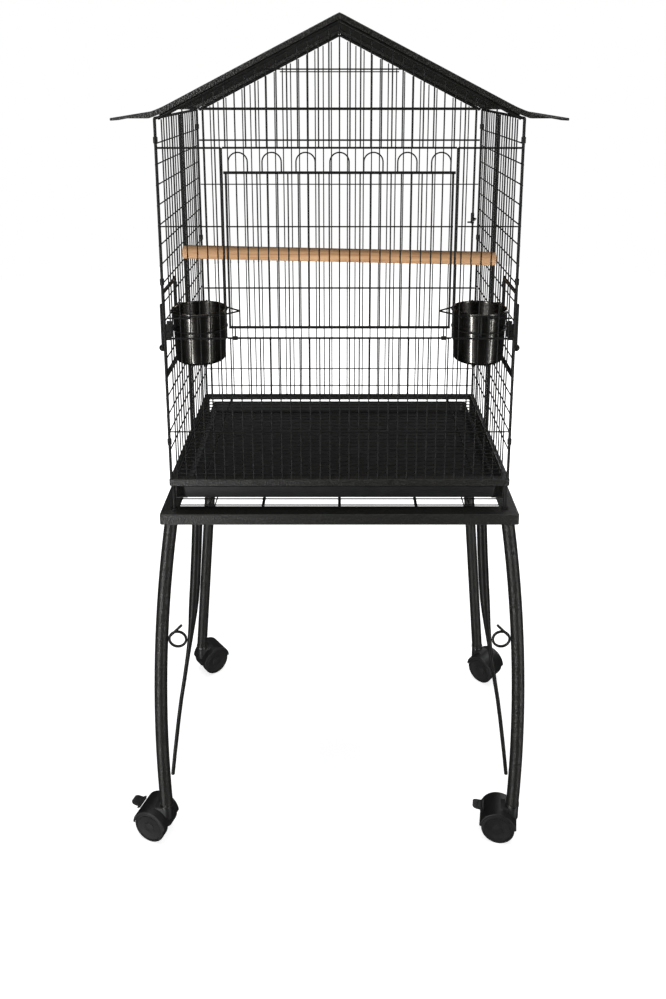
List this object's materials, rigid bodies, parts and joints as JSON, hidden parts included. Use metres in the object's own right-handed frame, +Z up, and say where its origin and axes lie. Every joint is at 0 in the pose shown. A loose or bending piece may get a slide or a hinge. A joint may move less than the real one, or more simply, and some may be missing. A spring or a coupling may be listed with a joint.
{
  "type": "bird cage on stand",
  "caption": "Wire bird cage with a gable roof, drop-down door, side feeder doors, cups and a slide-out tray, on a bow-legged stand with casters.",
  "frame": {"origin": "on the floor, under the middle of the stand's frame", "axes": "+Z up, front with the main door towards -Y, +X to the right seen from the front"},
  "size_m": [0.6402, 0.4354, 1.2199],
  "materials": {
    "hammertone_steel": "hammertone powder coat, dark olive black",
    "black_wire": "satin black powder coat",
    "perch_wood": "smooth turned dowel",
    "cup_steel": "drawn, polished",
    "black_plastic": "moulded, fine texture",
    "wheel_rubber": "smooth hard tread",
    "zinc_steel": "zinc plated"
  },
  "bodies": {
    "root": {"stand_frame": "hammertone_steel", "stand_grille": "black_wire", "base_frame": "hammertone_steel", "tray_runners": "hammertone_steel", "cage_feet": "black_wire", "front_panel": "black_wire", "back_panel": "black_wire", "side_panel_left": "black_wire", "side_panel_right": "black_wire", "panel_clips": "black_wire", "roof_panel_left": "hammertone_steel", "roof_panel_right": "hammertone_steel", "roof_fascia_front": "hammertone_steel", "roof_fascia_back": "hammertone_steel", "gable_frame_front": "black_wire", "gable_frame_back": "black_wire", "roof_clips": "black_wire", "perch": "perch_wood", "cup_holder_left": "black_wire", "cup_holder_right": "black_wire", "front_stay_left": "black_wire", "front_stay_right": "black_wire", "scroll_ring_left": "black_wire", "scroll_ring_right": "black_wire", "leg_front_left": "hammertone_steel", "leg_front_right": "hammertone_steel", "leg_rear_left": "hammertone_steel", "leg_rear_right": "hammertone_steel", "caster_stem_front_left": "zinc_steel", "caster_stem_front_right": "zinc_steel", "caster_stem_rear_left": "zinc_steel", "caster_stem_rear_right": "zinc_steel"},
    "tray": {"tray": "black_plastic"},
    "floor_grate": {"floor_grate": "black_wire"},
    "main_door": {"main_door": "black_wire"},
    "door_latch": {"door_latch": "black_wire"},
    "feeder_door_left": {"feeder_door_left": "black_wire"},
    "feeder_bolt_left": {"feeder_bolt_left": "black_wire"},
    "cup_left": {"cup_left": "cup_steel"},
    "feeder_door_right": {"feeder_door_right": "black_wire"},
    "feeder_bolt_right": {"feeder_bolt_right": "black_wire"},
    "cup_right": {"cup_right": "cup_steel"},
    "caster_front_left": {"caster_hood_front_left": "black_plastic"},
    "wheels_front_left": {"caster_wheels_front_left": "wheel_rubber", "caster_axle_front_left": "zinc_steel"},
    "brake_front_left": {"caster_brake_front_left": "black_plastic"},
    "caster_front_right": {"caster_hood_front_right": "black_plastic"},
    "wheels_front_right": {"caster_wheels_front_right": "wheel_rubber", "caster_axle_front_right": "zinc_steel"},
    "brake_front_right": {"caster_brake_front_right": "black_plastic"},
    "caster_rear_left": {"caster_hood_rear_left": "black_plastic"},
    "wheels_rear_left": {"caster_wheels_rear_left": "wheel_rubber", "caster_axle_rear_left": "zinc_steel"},
    "caster_rear_right": {"caster_hood_rear_right": "black_plastic"},
    "wheels_rear_right": {"caster_wheels_rear_right": "wheel_rubber", "caster_axle_rear_right": "zinc_steel"}
  },
  "joints": [
    {"name": "tray_slide", "type": "slide", "parent": "root", "child": "tray", "axis": [0, -1, 0], "range_m": [0, 0.28]},
    {"name": "grate_lift", "type": "slide", "parent": "root", "child": "floor_grate", "axis": [0, 0, 1], "range_m": [0, 0.03]},
    {"name": "main_door_hinge", "type": "hinge", "parent": "root", "child": "main_door", "pos_m": [0, -0.165, 0.7905], "axis": [1, 0, 0], "range_deg": [0, 140]},
    {"name": "door_latch_hinge", "type": "hinge", "parent": "root", "child": "door_latch", "pos_m": [0.1768, -0.165, 0.957], "axis": [0, 0, 1], "range_deg": [-70, 60]},
    {"name": "feeder_door_left_hinge", "type": "hinge", "parent": "root", "child": "feeder_door_left", "pos_m": [-0.24, -0.078, 0.796], "axis": [0, 0, -1], "range_deg": [0, 100]},
    {"name": "feeder_bolt_left_slide", "type": "slide", "parent": "feeder_door_left", "child": "feeder_bolt_left", "axis": [0, 1, 0], "range_m": [-0.006, 0.003]},
    {"name": "cup_left_lift", "type": "slide", "parent": "root", "child": "cup_left", "axis": [0, 0, 1], "range_m": [0, 0.06]},
    {"name": "feeder_door_right_hinge", "type": "hinge", "parent": "root", "child": "feeder_door_right", "pos_m": [0.24, -0.078, 0.796], "axis": [0, 0, 1], "range_deg": [0, 100]},
    {"name": "feeder_bolt_right_slide", "type": "slide", "parent": "feeder_door_right", "child": "feeder_bolt_right", "axis": [0, 1, 0], "range_m": [-0.006, 0.003]},
    {"name": "cup_right_lift", "type": "slide", "parent": "root", "child": "cup_right", "axis": [0, 0, 1], "range_m": [0, 0.06]},
    {"name": "caster_front_left_swivel", "type": "hinge", "parent": "root", "child": "caster_front_left", "pos_m": [-0.264, -0.194, 0.045], "axis": [0, 0, 1], "continuous": true},
    {"name": "wheels_front_left_spin", "type": "hinge", "parent": "caster_front_left", "child": "wheels_front_left", "pos_m": [-0.28279, -0.18716, 0.025], "axis": [-0.342, -0.9397, 0], "continuous": true},
    {"name": "brake_front_left_tilt", "type": "hinge", "parent": "caster_front_left", "child": "brake_front_left", "pos_m": [-0.30591, -0.17875, 0.0445], "axis": [-0.342, -0.9397, 0], "range_deg": [0, 14]},
    {"name": "caster_front_right_swivel", "type": "hinge", "parent": "root", "child": "caster_front_right", "pos_m": [0.264, -0.194, 0.045], "axis": [0, 0, 1], "continuous": true},
    {"name": "wheels_front_right_spin", "type": "hinge", "parent": "caster_front_right", "child": "wheels_front_right", "pos_m": [0.24444, -0.18984, 0.025], "axis": [-0.2079, -0.9781, 0], "continuous": true},
    {"name": "brake_front_right_tilt", "type": "hinge", "parent": "caster_front_right", "child": "brake_front_right", "pos_m": [0.22037, -0.18473, 0.0445], "axis": [-0.2079, -0.9781, 0], "range_deg": [0, 14]},
    {"name": "caster_rear_left_swivel", "type": "hinge", "parent": "root", "child": "caster_rear_left", "pos_m": [-0.2685, 0.171, 0.045], "axis": [0, 0, 1], "continuous": true},
    {"name": "wheels_rear_left_spin", "type": "hinge", "parent": "caster_rear_left", "child": "wheels_rear_left", "pos_m": [-0.25318, 0.18386, 0.025], "axis": [-0.6428, 0.766, 0], "continuous": true},
    {"name": "caster_rear_right_swivel", "type": "hinge", "parent": "root", "child": "caster_rear_right", "pos_m": [0.2685, 0.171, 0.045], "axis": [0, 0, 1], "continuous": true},
    {"name": "wheels_rear_right_spin", "type": "hinge", "parent": "caster_rear_right", "child": "wheels_rear_right", "pos_m": [0.28336, 0.15762, 0.025], "axis": [0.6691, 0.7431, 0], "continuous": true}
  ]
}
